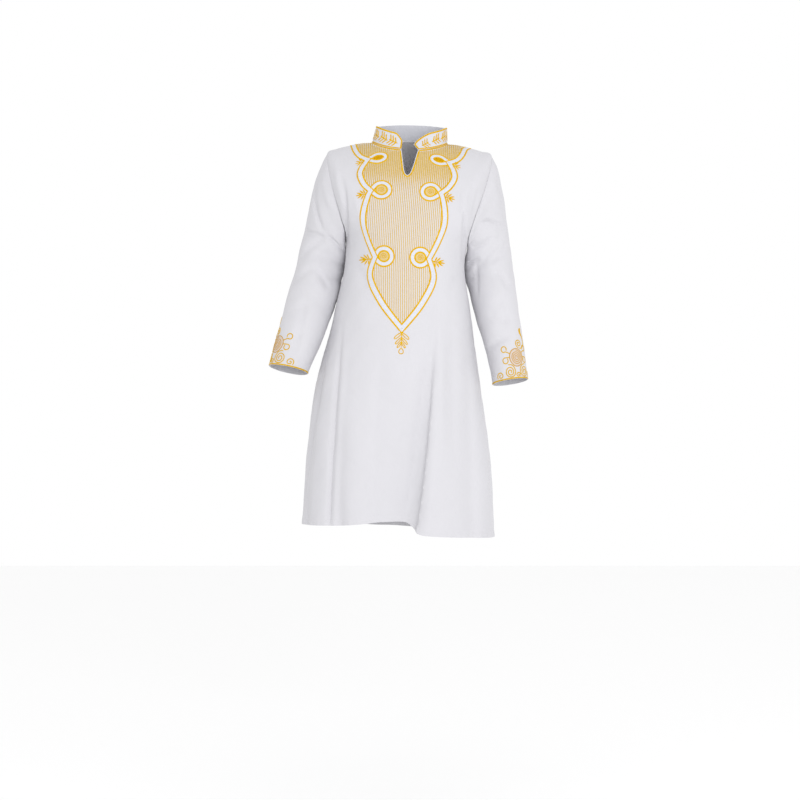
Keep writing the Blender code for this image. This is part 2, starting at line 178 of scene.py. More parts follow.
# ---- Small creases, which only the looks have ----
# Each runs from one place to another as the camera sees it, in millimetres, bowed to the left of its way, with
# its own width to the left and right. Those of the hidden side are seen from behind at the same places.
CREASE = "x0 z0 x1 z1 bow left right depth"
CREASES = {
    "front": table(
        CREASE,
        (57, -420, -14, -1010, 10, 4, 26, 11.0),
        (70, -420, 22, -1000, 9, 12, 9, -2.5),
        (62, -300, 57, -560, 0, 5, 14, 2.6),
        (-150, -370, -186, -1000, -5, 4, 6, 5.5),
        (-140, -380, -173, -1000, -5, 7, 6, -2.4),
        (-176, -400, -262, -960, -5, 4, 8, 4.6),
        (-60, -420, -78, -1000, -8, 16, 12, 2.4),
        (-20, -470, -30, -1000, 6, 18, 14, 1.6),
        (95, -330, 104, -800, 0, 12, 16, 4.0),
        (76, -440, 72, -760, 0, 9, 8, -2.0),
        (128, -420, 150, -1000, 5, 10, 12, 3.0),
        (-150, -74, -145, -262, 3, 5, 5, 7.0),
        (-170, -25, -139, -160, -4, 7, 6, -2.6),
        (-134, -95, -108, -190, 5, 8, 7, -2.0),
        (-158, -50, -150, -150, 3, 7, 7, 2.4),
        (127, -130, 125, -275, 0, 4, 5, 7.0),
        (158, -88, 143, -166, 2, 5, 5, 2.4),
        (110, -70, 122, -165, 3, 7, 7, 3.0),
        (138, -60, 116, -190, 4, 6, 7, -2.0),
        (-128, -262, -96, -330, 6, 10, 9, 2.0),
        (118, -280, 92, -350, -5, 9, 10, 1.8),
        (-100, -560, -20, -600, 6, 14, 14, 1.6),
        (-30, -680, 40, -640, 5, 12, 16, 1.5),
        (-112, -700, -60, -735, 5, 12, 12, 1.3),
    ),
    "back": table(
        CREASE,
        (140, -100, 132, -255, -3, 5, 7, 6.0),
        (-150, -95, -142, -260, 3, 7, 5, 6.0),
        (120, -130, 40, -210, 8, 9, 12, 3.0),
        (-124, -120, -44, -220, -7, 10, 9, 3.0),
        (-90, -286, 96, -300, 7, 9, 11, 2.8),
        (-66, -322, 80, -318, -6, 9, 10, 2.4),
        (-40, -352, 92, -362, 5, 9, 12, 1.8),
        (66, -360, 116, -1000, 8, 9, 20, 6.0),
        (12, -410, 24, -1000, -6, 16, 8, 4.6),
        (-58, -380, -92, -1000, 5, 7, 17, 6.0),
        (-120, -420, -186, -1000, -6, 7, 12, 5.0),
        (150, -430, 205, -1000, 6, 10, 7, 4.2),
    ),
    "sleeve_right": table(
        CREASE,
        (-212, -64, -190, -202, -14, 6, 3, 5.6),
        (-192, -196, -140, -246, 3, 3, 7, 5.0),
        (-250, -186, -184, -208, 2, 4, 12, 5.0),
        (-196, -50, -172, -150, -6, 8, 7, -2.4),
        (-280, -322, -206, -266, 6, 6, 10, 4.4),
        (-256, -264, -184, -206, 10, 5, 9, 3.8),
        (-222, -270, -180, -326, 5, 5, 7, 2.8),
        (-236, -330, -270, -490, 6, 8, 11, 3.4),
        (-180, -96, -156, -190, 4, 5, 8, 3.4),
        (-292, -388, -214, -352, 6, 9, 12, 2.6),
        (-270, -436, -226, -420, 4, 8, 9, 2.0),
    ),
    "sleeve_right_back": table(
        CREASE,
        (-208, -70, -172, -200, 9, 5, 8, 4.8),
        (-248, -204, -168, -254, -5, 4, 10, 5.0),
        (-270, -290, -190, -258, 6, 7, 8, 4.2),
        (-262, -330, -206, -380, 4, 7, 8, 3.2),
        (-286, -400, -226, -410, 5, 8, 10, 2.4),
    ),
    "sleeve_left": table(
        CREASE,
        (160, -168, 218, -184, 6, 4, 9, 4.4),
        (136, -228, 198, -200, -4, 5, 6, 4.4),
        (130, -266, 168, -252, 2, 4, 7, 3.6),
        (153, -244, 156, -350, 1, 4, 5, 2.4),
        (190, -270, 234, -330, 3, 7, 7, 3.6),
        (170, -470, 240, -424, 8, 4, 9, 4.0),
        (172, -80, 156, -190, -5, 6, 7, 3.4),
        (200, -336, 226, -414, 3, 9, 9, 2.6),
        (186, -60, 204, -150, 4, 7, 8, -2.0),
        (228, -210, 178, -262, 7, 8, 6, 3.0),
        (236, -392, 178, -372, 5, 9, 12, 2.2),
    ),
    "sleeve_left_back": table(
        CREASE,
        (194, -80, 162, -206, -8, 6, 7, 4.6),
        (220, -210, 150, -250, 5, 9, 4, 5.0),
        (228, -298, 164, -272, -5, 7, 8, 4.0),
        (240, -360, 188, -408, -4, 7, 8, 3.2),
        (246, -432, 186, -442, 4, 8, 10, 2.4),
    ),
}
SEAM_DIP = 0.5 * MM


def between(rows, place):
    """Rows at fractional places in a table, on a smooth curve through its rows, as one row of arrays."""
    values, last = np.array(rows, float), len(rows) - 1
    place = np.clip(np.asarray(place, float), 0, last)
    index = np.minimum(place.astype(int), last - 1)
    t = (place - index)[..., None]
    p, q, r, s = (values[np.clip(index + k, 0, last)] for k in (-1, 0, 1, 2))
    mixed = 0.5 * (2 * q + (r - p) * t + (2 * p - 5 * q + 4 * r - s) * t * t + (3 * q - p - 3 * r + s) * t ** 3)
    return type(rows[0])(*np.moveaxis(mixed, -1, 0))


def eased(t):
    """From 0 to 1 with level ends."""
    t = np.clip(t, 0, 1)
    return t * t * (3 - 2 * t)


def squared(value):
    """A cosine or sine, filled out so that a ring is a little squarer than an ellipse."""
    return np.sign(value) * np.abs(value) ** RING_POWER


def wrapped(degrees):
    """An angle between -180 and 180 degrees."""
    return (degrees + 180) % 360 - 180


def unit(vectors):
    """The same directions with a length of 1."""
    return vectors / np.maximum(np.linalg.norm(vectors, axis=-1, keepdims=True), 1e-12)


def paired(u, v):
    """Two places as arrays of one shape."""
    return np.broadcast_arrays(np.asarray(u, float), np.asarray(v, float))


def run_of(line):
    """How far along a line each of its places lies."""
    return np.concatenate([[0], np.cumsum(np.linalg.norm(np.diff(line, axis=0), axis=1))])


def body_point(angle, level):
    """Points on the outside of the body. The angle runs from the wearer's left side (0) round by the front."""
    angle, level = paired(angle, level)
    ring = between(BODY, level)
    push, lift = np.zeros(angle.shape), np.zeros(angle.shape)
    for fold in FOLDS:
        share = np.clip((level - fold.start) / (HEM - fold.start), 0, None)
        away = wrapped(np.degrees(angle) - fold.top_angle - (fold.hem_angle - fold.top_angle) * share)
        bump = share ** FOLD_GROWTH * np.exp(-((away / np.where(away > 0, fold.to_right, fold.to_left)) ** 2))
        push += fold.depth * bump
        lift += fold.lift * bump
    facing = np.sin(angle)
    depth = np.where(facing >= 0, ring.front, ring.back)
    end_z = np.where(facing >= 0, ring.front_z, ring.back_z)
    across = (ring.width - push) * squared(np.cos(angle))
    height = ring.side_z + (end_z - ring.side_z) * np.abs(facing) ** SHOULDER_FALL - ring.drop * across + lift
    return np.stack((ring.centre + across, -(depth - push) * squared(facing), height), -1)


def armhole_level(around):
    """The ring of a place on the armhole seam, which runs from the shoulder's tip (0) by the front."""
    half = (UNDERARM - SHOULDER_TIP) / 2
    return SHOULDER_TIP + half - half * np.cos(around)


def armhole_place(side, around):
    """Places on the body, as an angle and a ring, of points on the armhole seam."""
    turn = np.where(np.sin(around) >= 0, ARMHOLE_REACH[1], ARMHOLE_REACH[-1]) * np.sin(around)
    return (turn if side > 0 else math.pi - turn), armhole_level(around)


def sleeve_tube(side, around, along):
    """Points on the plain tube of a sleeve. Around runs from the outer edge (0) by the front."""
    around, along = paired(around, along)
    section = between(SLEEVE_FORMS[side], along)
    push = np.zeros(around.shape)
    for bend in BENDS[side]:
        away = wrapped(np.degrees(around) - bend.angle)
        line = along - bend.section - bend.slant * away / 90
        push += bend.depth * np.exp(-((away / bend.long) ** 2) - (line / bend.wide) ** 2)
    half_x = (section.outer_x - section.inner_x) / 2
    half_z = (section.outer_z - section.inner_z) / 2
    shrink = 1 - push / np.hypot(half_x, half_z)
    out, front = np.cos(around) * shrink, np.sin(around) * shrink
    return np.stack((
        side * ((section.outer_x + section.inner_x) / 2 + half_x * out),
        section.middle_y - section.depth * front,
        (section.outer_z + section.inner_z) / 2 + half_z * out + section.pitch * section.depth * front,
    ), -1)


def sleeve_point(side, around, along):
    """Points on the outside of a sleeve, which starts on the armhole seam and soon becomes a plain tube."""
    seam = body_point(*armhole_place(side, around)) - sleeve_tube(side, around, 0)
    fading = 1 - eased(np.asarray(along, float) / SLEEVE_HEAD)
    return sleeve_tube(side, around, along) + seam * fading[..., None]


def collar_end(side):
    """The angle at which the collar and the slit's edge meet."""
    return math.pi / 2 - side * math.asin((SLIT_TOP_HALF / BODY[0].width) ** (1 / RING_POWER))


def round_neck(facing, sides, front, back):
    """A size that changes round the neck, from those at the sides, the front and the back."""
    return sides + (np.where(facing >= 0, front, back) - sides) * facing ** 2


def collar_height(angle):
    """The collar's height, which its front corners cut down, and how far those corners lean aside."""
    facing = np.sin(angle)
    height = round_neck(facing, *COLLAR_HEIGHT)
    turn = np.zeros(np.shape(angle))
    for side, corner in ((1, LEFT_CORNER), (-1, RIGHT_CORNER)):
        here = (facing >= 0) & (side * np.cos(angle) >= 0)
        from_end = side * (collar_end(side) - angle % CIRCLE) * BODY[0].width
        cut = corner.cut * np.clip(1 - np.clip(from_end, 0, None) / corner.reach, 0, None) ** corner.power
        height = height - np.where(here, cut, 0)
        turn = turn + np.where(here, corner.turn * np.exp(-((from_end / TURN_REACH) ** 2)), 0)
    return height, turn


def collar_point(angle, up):
    """Points on the outside of the collar, a share of the way up from its seam."""
    angle, up = paired(angle, up)
    facing, nil = np.sin(angle), np.zeros(angle.shape)
    height, turn = collar_height(angle)
    outward = np.stack((np.cos(angle), -facing, nil), -1)
    rise = np.stack(((COLLAR_SHIFT - turn) * up, nil, COLLAR_LIFT + (height - COLLAR_LIFT) * up), -1)
    return body_point(angle, nil) - outward * (round_neck(facing, *COLLAR_LEAN) * up)[..., None] + rise


def normals_of(surface, u, v, last, sign=1):
    """Outward directions of a surface given by a function of two places, the second from 0 to a last one."""
    nudge = 2e-4
    v = np.clip(v, nudge, last - nudge)
    along_u = surface(u + nudge, v) - surface(u - nudge, v)
    along_v = surface(u, v + nudge) - surface(u, v - nudge)
    return unit(np.cross(along_u, along_v) * sign)


def slit_angle(side, level, margin=0.0, foot=SLIT_FOOT):
    """The angle of one edge of the neck slit, or of a line beside it, or of the middle line below it."""
    share = np.clip(level / SLIT_FOOT, 0, 1)
    straight = SLIT_TOP_HALF + (SLIT_FOOT_HALF - SLIT_TOP_HALF) * share + margin
    half = straight * np.sqrt(1 - np.clip(level / foot, 0, 1) ** SLIT_ROUNDING)
    lean = SLIT_LEAN * share + side * half
    across = np.abs(lean) / between(BODY, level).width
    return math.pi / 2 - np.sign(lean) * np.arcsin(across ** (1 / RING_POWER))


def seen(points):
    """Where the camera sees points, on the plane y = 0, in millimetres."""
    reach = -CAMERA[1] / (points[..., 1] - CAMERA[1])
    place = CAMERA + (points - CAMERA) * reach[..., None]
    return place[..., 0] / MM, place[..., 2] / MM


def creased(points, normals, rows, facing):
    """How far small creases push points in, where their surface faces the front or the back."""
    x, z = seen(points)
    push = np.zeros(x.shape)
    for crease in rows:
        dx, dz = crease.x1 - crease.x0, crease.z1 - crease.z0
        length = math.hypot(dx, dz)
        t = ((x - crease.x0) * dx + (z - crease.z0) * dz) / length ** 2
        off = ((z - crease.z0) * dx - (x - crease.x0) * dz) / length
        off = off - crease.bow * 4 * t * (1 - t) * ((t > 0) & (t < 1))
        ends = eased(t / 0.3) * eased((1 - t) / 0.3)
        push += crease.depth * MM * ends * np.exp(-((off / np.where(off > 0, crease.left, crease.right)) ** 2))
    return push * eased(-facing * normals[..., 1] / 0.35)


def wavering(points):
    """The slight unevenness of hanging cloth."""
    x, y, z = np.moveaxis(points, -1, 0)
    return MM * (
        0.90 * np.sin(61 * x + 17 * z + 1.3) * np.sin(23 * z - 31 * y + 0.4)
        + 0.45 * np.sin(118 * x - 37 * z + 2.1) * np.sin(52 * z + 45 * y)
        + 0.15 * np.sin(203 * z + 71 * x + 0.7) * np.sin(150 * x + 90 * y + 1.9)
    )


def dipped(points, lines, wide):
    """How far a surface dips beside its seams, which pucker it a little."""
    push = np.zeros(points.shape[:-1])
    for line in lines:
        away = np.full(points.shape[:-1], 1.0)
        run = np.zeros(points.shape[:-1])
        for place, length in zip(line, run_of(line)):
            gap = np.linalg.norm(points - place, axis=-1)
            run = np.where(gap < away, length, run)
            away = np.minimum(gap, away)
        ripple = 1 + 0.5 * np.sin(run * 420 + np.sin(run * 97) * 2)
        narrow, broad = (np.exp(-((away / reach) ** 2)) for reach in (wide, 3 * wide))
        push += SEAM_DIP * narrow + 0.25 * SEAM_DIP * ripple * broad
    return push


# ---- Materials ----

LIGHT = 1.37


def paint(*seen_as):
    """The base colour that looks like this colour, of 255, in the light on the front of the dress."""
    return [((c / 255 + 0.055) / 1.055) ** 2.4 / LIGHT for c in seen_as]


def fill(tree, sockets, values):
    """Sets inputs of a node. One whose value is another node's output is linked to it."""
    for key, value in values.items():
        if isinstance(value, bpy.types.NodeSocket):
            tree.links.new(value, sockets[key])
        else:
            sockets[key].default_value = (*value, 1) if sockets[key].type == "RGBA" else value


def node(tree, kind, inputs=None, **settings):
    """The outputs of a new node with some of its settings and inputs set."""
    made = tree.nodes.new("ShaderNode" + kind)
    for key, value in settings.items():
        setattr(made, key, value)
    fill(tree, made.inputs, inputs or {})
    return made.outputs


def new_material(name, colour, roughness, sheen, specular):
    """A material, its node tree and its shader's inputs. What is the same all over is set on the shader."""
    material = bpy.data.materials.new(name)
    material.use_nodes = True
    tree = material.node_tree
    inputs = tree.nodes["Principled BSDF"].inputs
    fill(tree, inputs, {
        "Base Color": colour, "Roughness": roughness, "Sheen Weight": sheen, "Sheen Roughness": 0.5,
        "Specular IOR Level": specular})
    return material, tree, inputs


def mixed_colour(tree, factor, dark, light, blend="MIX"):
    """A colour between two colours by a factor."""
    return node(tree, "Mix", {0: factor, 6: dark, 7: light}, data_type="RGBA", blend_type=blend)[2]


def noise(tree, place, scale, detail, roughness=0.5):
    """Smooth noise over the cloth."""
    inputs = {"Vector": place["Object"], "Scale": scale, "Detail": detail, "Roughness": roughness}
    return node(tree, "TexNoise", inputs)["Fac"]


def bump(tree, inputs, strength, distance):
    """Shading of small relief."""
    return node(tree, "Bump", {**inputs, "Strength": strength, "Distance": distance})["Normal"]


def cloth_material(name, seen_as, tint=(1, 1, 1)):
    """Plain woven cotton: fine yarns both ways, a soft crumple, and a faint unevenness of colour."""
    colour = paint(*seen_as)
    material, tree, inputs = new_material(name, colour, 0.8, 0.18, 0.3)
    place = node(tree, "TexCoord")
    wave = {"Vector": place["UV"], "Scale": 520.0, "Distortion": 0.6}
    warp, weft = (node(tree, "TexWave", wave, bands_direction=way)["Fac"] for way in ("X", "Y"))
    yarns = node(tree, "Math", {0: warp, 1: weft}, operation="MULTIPLY")[0]
    crumple = noise(tree, place, 46.0, 3.0, 0.55)
    slubs = noise(tree, place, 9.0, 2.0)
    dark = [c * 0.975 * t for c, t in zip(colour, tint)]
    light = [min(c * 1.02, 1) for c in colour]
    soft = bump(tree, {"Height": crumple}, 0.22, 0.0022)
    fill(tree, inputs, {
        "Base Color": mixed_colour(tree, slubs, dark, light),
        "Roughness": node(tree, "MapRange", {"Value": crumple, "To Min": 0.74, "To Max": 0.88})["Result"],
        "Normal": bump(tree, {"Height": yarns, "Normal": soft}, 0.25, 0.00012)})
    return material


def thread_material(name, dark, light, pitch=0.0010, roughness=0.5, sheen=0, specular=0.05):
    """Satin stitches of a glossy thread, laid side by side across the line that they cover."""
    dark, light = paint(*dark), paint(*light)
    material, tree, inputs = new_material(name, light, roughness, sheen, specular)
    place = node(tree, "TexCoord")
    slanted = node(tree, "Mapping", {"Vector": place["UV"], "Rotation": (0, 0, 0.35)})["Vector"]
    wave = {"Vector": slanted, "Scale": 0.314 / pitch, "Distortion": 1.2, "Detail": 1.0}
    stitch = node(tree, "TexWave", wave, bands_direction="Y")["Fac"]
    patchy = noise(tree, place, 180.0, 2.0)
    # The colour is painted shade and light: the dark colour in the grooves between the stitches, the light one on
    # their crowns, with random patches.
    blend = node(tree, "Math", {0: stitch, 1: 0.45, 2: patchy}, operation="MULTIPLY_ADD")[0]
    fill(tree, inputs, {
        "Base Color": mixed_colour(tree, blend, dark, light),
        "Normal": bump(tree, {"Height": stitch}, 0.5, 0.0003)})
    return material


def graded(material, low_z, high_z, tint):
    """Tints a material's colour more and more from one height up to another."""
    tree = material.node_tree
    colour = tree.nodes["Principled BSDF"].inputs["Base Color"]
    height = node(tree, "SeparateXYZ", {"Vector": node(tree, "TexCoord")["Object"]})["Z"]
    rise = node(tree, "MapRange", {"Value": height, "From Min": low_z, "From Max": high_z})["Result"]
    tree.links.new(mixed_colour(tree, rise, colour.links[0].from_socket, tint, "MULTIPLY"), colour)


COTTON = cloth_material("white_cotton", (232, 231, 236))
COLLAR_COTTON = cloth_material("collar_cotton", (232, 233, 241))
PEACH = cloth_material("stitched_ground", (232, 218, 208), (1, 0.97, 0.94))
# Each thread's first colour is painted shade in the grooves between its stitches. Its second colour is painted light
# on their crowns.
GOLD = thread_material("gold_thread", (214, 146, 0), (255, 208, 0))
# Deep gold whose darkness is partly painted shade: the dark ring round the coils inside the top loops.
DEEP_GOLD_AND_SHADE = thread_material("deep_gold_thread_and_shade", (196, 124, 0), (230, 160, 0))
YELLOW = thread_material("yellow_gold_thread", (216, 158, 0), (250, 204, 20))
FIELD_GOLD = thread_material("pale_gold_thread", (232, 200, 124), (246, 218, 156))
BEIGE_GOLD = thread_material("beige_gold_thread", (200, 146, 56), (232, 184, 88))
CUFF_GOLD = thread_material("cuff_gold_thread", (214, 156, 6), (246, 200, 36))
FILL_GOLD = thread_material("fill_thread", (214, 168, 58), (242, 202, 94), 0.0012)
graded(FILL_GOLD, -0.120, -0.055, (0.94, 1.0, 1.7))
SATIN = thread_material("white_satin", (228, 231, 243), (240, 243, 253), 0.0009, 0.45, 0.1, 0.3)


# ---- Meshes ----

def added(name, data):
    """A new object in the scene."""
    piece = bpy.data.objects.new(name, data)
    bpy.context.scene.collection.objects.link(piece)
    return piece


def new_piece(name, points, faces, places, material):
    """A smooth piece that rides on the dress. Places are its UV map, one for each point, in metres."""
    mesh = bpy.data.meshes.new(name)
    mesh.from_pydata(points.tolist(), [], faces)
    corners = np.zeros(len(mesh.loops), np.int32)
    mesh.loops.foreach_get("vertex_index", corners)
    mesh.uv_layers.new(name="cloth").data.foreach_set("uv", np.asarray(places, np.float32)[corners].ravel())
    mesh.shade_smooth()
    mesh.materials.append(material)
    piece = added(name, mesh)
    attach(piece, "root")
    return piece


def numbered(points):
    """The numbers of the points of a grid."""
    return np.arange(points[..., 0].size).reshape(points.shape[:2])


def grid_faces(ids, turned=False, closed=False):
    """The faces between rows of point numbers."""
    after = np.roll(ids, -1, axis=1)
    faces = np.stack((ids[:-1], after[:-1], after[1:], ids[1:]), -1)
    faces = (faces if closed else faces[:, :-1]).reshape(-1, 4)
    return faces[:, ::-1] if turned else faces


def walled(solid, points, normals, thick, faces, places, material=COTTON):
    """A thin closed wall in place of a solid: the faces through the outer points, through inner ones, and the rim."""
    used = np.unique(faces)
    number = np.zeros(points[..., 0].size, int)
    number[used] = np.arange(len(used))
    faces = [tuple(face) for face in number[faces].tolist()]
    points, normals, places = (part.reshape(-1, part.shape[-1])[used] for part in (points, normals, places))
    count = len(points)
    edges = dict.fromkeys(edge for face in faces for edge in zip(face, face[1:] + face[:1]))
    rim = [(b, a, a + count, b + count) for a, b in edges if (b, a) not in edges]
    inner = [tuple(i + count for i in reversed(face)) for face in faces]
    piece = new_piece(
        "dress_" + solid, np.concatenate([points, points - normals * thick]), [*faces, *inner, *rim],
        np.concatenate([places, places]), material)
    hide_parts(solid)
    piece.data.set_sharp_from_angle(angle=math.radians(55))
    return piece, BVHTree.FromPolygons(points.tolist(), faces)


def panel_rows(spacing):
    """The rows of a body panel, from neck to hem, as (ring at the middle, place on the armhole or None)."""
    levels = [*np.linspace(0, 1.6, int(1.6 / spacing) + 1)]
    levels += [*(1.6 + (SLIT_FOOT - 1.6) * (1 - (1 - np.linspace(0, 1, 11)[1:]) ** 2))]
    levels += [*np.linspace(SLIT_FOOT, SHOULDER_TIP, int(2 / spacing))[1:-1]]
    below = [*np.linspace(UNDERARM, HEM - 0.3, int(7.7 / spacing * 1.5))[1:], *np.linspace(HEM - 0.3, HEM, 15)[1:]]
    steps = int(3.4 / spacing)
    armhole = [(None, math.pi * step / steps) for step in range(steps + 1)]
    return [(level, None) for level in levels] + armhole + [(level, None) for level in below]


def panel_grid(rows, shares, side, facing):
    """Angles and rings of the points of half a panel. Shares run from its edge by the side seam to its middle."""
    angles, levels = [], []
    for level, on_armhole in rows:
        if on_armhole is None:
            edge, edge_level, even = 0.0, level, level
        else:
            edge, edge_level = facing * ARMHOLE_REACH[facing] * math.sin(on_armhole), armhole_level(on_armhole)
            even = SHOULDER_TIP + (UNDERARM - SHOULDER_TIP) * on_armhole / math.pi
        place = edge_level + (even - edge_level) * eased(shares * 2)
        start = edge if side > 0 else math.pi - edge - (CIRCLE if facing < 0 else 0)
        end = slit_angle(side, place[-1]) if facing > 0 else -math.pi / 2
        angles.append(start + (end - start) * shares)
        levels.append(place)
    return np.array(angles), np.array(levels)


def hem_relief(levels, angles):
    """The turned hem: a band a little proud of the cloth, with small puckers."""
    above = (HEM - levels) * 0.111
    band = 0.4 * MM * eased((0.020 - above) / 0.002)
    pucker = np.sin(angles * 71 + 2 * np.sin(angles * 13)) * np.sin(angles * 29 + 1.1) + 0.4 * np.sin(angles * 137)
    return band + 0.7 * MM * pucker * eased(1 - above / 0.034)


ARMHOLES = {side: body_point(*armhole_place(side, np.linspace(0, CIRCLE, 160))) for side in (1, -1)}
NECK_LINE = body_point(np.linspace(0, CIRCLE, 200), np.zeros(200))
PANEL_SEAMS = [
    body_point(np.full(count, turn), np.linspace(first, last, count))
    for first, last, count in ((UNDERARM, HEM, 260), (0, SHOULDER_TIP, 60)) for turn in (0, math.pi)]


def panel_surface(angles, levels, facing):
    """The points and outward directions of a body panel, with its creases, seams and hem."""
    points = body_point(angles, levels)
    normals = normals_of(body_point, angles, levels, HEM)
    at_seam = np.full(points.shape[:-1], 1.0)
    for line in (*ARMHOLES.values(), NECK_LINE):
        for place in line[::2]:
            at_seam = np.minimum(at_seam, np.linalg.norm(points - place, axis=-1))
    push = creased(points, normals, CREASES["front" if facing > 0 else "back"], facing) * eased(at_seam / 0.006)
    relief = wavering(points) * eased(at_seam / 0.02) + hem_relief(levels, angles) - push
    relief -= dipped(points, ARMHOLES.values(), 0.0040)
    relief -= dipped(points, PANEL_SEAMS, 0.0025) * eased((levels - 9.3) / 0.6)
    relief += 0.9 * MM * np.exp(-(((points[..., 2] + 0.238) / 0.022) ** 2)) * eased((points[..., 0] - 0.105) / 0.015)
    return points + normals * relief[..., None], normals


def arc_places(points, middle):
    """UV places: the way along each row from its middle, and the height."""
    run = np.array([run_of(row) for row in points])
    return np.stack((run - run[:, middle:middle + 1], points[..., 2]), -1)


def build_front():
    """The front, in two halves that part at the neck slit and share their middle points below it."""
    rows, shares = panel_rows(0.067), np.linspace(0, 1, 83)
    parts, faces = [], []
    for side in (1, -1):
        angles, levels = panel_grid(rows, shares, side, 1)
        points, normals = panel_surface(angles, levels, 1)
        ids = numbered(points)
        if side < 0:
            joined = np.flatnonzero(levels[:, -1] >= SLIT_FOOT - 1e-9)
            shared = ids[joined, -1]
            ids = ids + ids.size
            ids[joined, -1] = shared
        parts.append((points, normals, arc_places(points, len(shares) - 1)))
        faces.append(grid_faces(ids, side < 0))
    points, normals, places = (np.concatenate(part) for part in zip(*parts))
    return walled("front", points, normals, CLOTH, np.concatenate(faces), places)


def build_back():
    """The back, in one width."""
    halves = [panel_grid(panel_rows(0.075), np.linspace(0, 1, 66), side, -1) for side in (1, -1)]
    angles, levels = (np.concatenate([left, right[:, -2::-1]], axis=1) for left, right in zip(*halves))
    points, normals = panel_surface(angles, levels, -1)
    faces = grid_faces(numbered(points), True)
    return walled("back", points, normals, CLOTH, faces, arc_places(points, points.shape[1] // 2))


def build_sleeve(side, name):
    """One sleeve, from the armhole seam to the cuff's hem."""
    around, along = np.meshgrid(np.arange(108) * CIRCLE / 108, np.concatenate([
        np.linspace(0, 1, 22)[:-1], np.linspace(1, CUFF - 0.7, 110)[:-1], np.linspace(CUFF - 0.7, CUFF, 20)]))
    points = sleeve_point(side, around, along)
    normals = normals_of(lambda u, v: sleeve_point(side, u, v), around, along, CUFF, side)
    push = sum(creased(points, normals, CREASES[name + end], facing) for end, facing in (("", 1), ("_back", -1)))
    above = (CUFF - along) * 0.040
    relief = wavering(points) * eased(along / 0.6) - push * eased(along / 0.25)
    relief += 0.3 * MM * eased((0.018 - above) / 0.002)
    relief -= dipped(points, [ARMHOLES[side]], 0.0040)
    points = points + normals * relief[..., None]
    places = np.stack((around * 0.048, -along * 0.042), -1)
    return walled(name, points, normals, CLOTH, grid_faces(numbered(points), side < 0, True), places)


def build_collar():
    """The stand collar, from one edge of the slit round the neck to the other."""
    angles, ups = np.meshgrid(np.linspace(collar_end(1), collar_end(-1) - CIRCLE, 260), np.linspace(0, 1, 22))
    points = collar_point(angles, ups)
    normals = normals_of(collar_point, angles, ups, 1, -1)
    edge = 0.35 * MM * np.exp(-(((1 - ups) / 0.07) ** 2)) + 0.25 * MM * np.sin(angles * 23 + ups * 3) * ups
    points = points + normals * edge[..., None]
    places = np.stack((angles * -0.078, ups * 0.04), -1)
    return walled(
        "collar", points, normals, COLLAR_WALL, grid_faces(numbered(points)), places, COLLAR_COTTON)


FRONT, FRONT_TREE = build_front()
BACK, BACK_TREE = build_back()
SLEEVES, TREES = {}, {}
for side, name in ((-1, "sleeve_right"), (1, "sleeve_left")):
    SLEEVES[side], TREES[side] = build_sleeve(side, name)
COLLAR, COLLAR_TREE = build_collar()

# ---- Lines and strips of embroidery ----

STITCH = 1.2 * MM
SUNK = 0.2 * MM


def smooth_line(points, step):
    """Places evenly spaced on a smooth curve through points, by cubic pieces that suit uneven spacing."""
    points = np.asarray(points, float)
    padded = np.concatenate([2 * points[:1] - points[1:2], points, 2 * points[-1:] - points[-2:-1]])
    knots = np.concatenate([[0], np.cumsum(np.linalg.norm(np.diff(padded, axis=0), axis=1) ** 0.5 + 1e-9)])
    t = np.linspace(0, 1, 40, endpoint=False)[:, None]
    pieces = []
    for i in range(len(padded) - 3):
        p0, p1, p2, p3 = padded[i:i + 4]
        t0, t1, t2, t3 = knots[i:i + 4]
        start = (t2 - t1) * ((p1 - p0) / (t1 - t0) - (p2 - p0) / (t2 - t0) + (p2 - p1) / (t2 - t1))
        end = (t2 - t1) * ((p2 - p1) / (t2 - t1) - (p3 - p1) / (t3 - t1) + (p3 - p2) / (t3 - t2))
        pieces.append(
            (2 * t ** 3 - 3 * t ** 2 + 1) * p1 + (t ** 3 - 2 * t ** 2 + t) * start
            + (3 * t ** 2 - 2 * t ** 3) * p2 + (t ** 3 - t ** 2) * end)
    return evenly(np.concatenate([*pieces, points[-1:]]), step)


def evenly(line, step):
    """The same line with its places evenly spaced."""
    run = run_of(line)
    wanted = np.linspace(0, run[-1], max(int(round(run[-1] / step)), 2) + 1)
    return np.stack([np.interp(wanted, run, column) for column in line.T], -1)


def snapped(tree, points):
    """The nearest places on a surface and its outward directions there."""
    found = [tree.find_nearest(Vector(place))[:2] for place in points.reshape(-1, 3)]
    return (np.array(part).reshape(points.shape) for part in zip(*found))


def laid(tree, line, closed=False):
    """The places of a line on a surface, and the directions across it there."""
    places, out = snapped(tree, line)
    ahead = np.roll(line, -1, 0) - np.roll(line, 1, 0) if closed else np.gradient(line, axis=0)
    return places, unit(np.cross(out, unit(ahead)))


def strip(tree, line, half, height, power=2, columns=5, closed=False):
    """A raised strip of stitches along a line on a surface: its points, faces and UV places."""
    places, across = laid(tree, line, closed)
    run = run_of(line)
    half = np.broadcast_to(np.asarray(half, float), run.shape)
    if not closed:
        half = half * np.clip(np.minimum(run, run[-1] - run) / half.max(), 0.01, 1) ** 0.5
    share = np.linspace(-1, 1, columns)
    aside = half[:, None] * share
    points, out = snapped(tree, places[:, None] + across[:, None] * aside[..., None])
    points = points + out * ((height + SUNK) * (1 - np.abs(share) ** power) ** 0.6 - SUNK)[:, None]
    ids = numbered(points)
    after = np.roll(ids, -1, axis=0)
    faces = np.stack((ids[:, :-1], after[:, :-1], after[:, 1:], ids[:, 1:]), -1)
    uv = np.stack((aside, np.broadcast_to(run[:, None], aside.shape)), -1)
    return points.reshape(-1, 3), (faces if closed else faces[:-1]).reshape(-1, 4), uv.reshape(-1, 2)


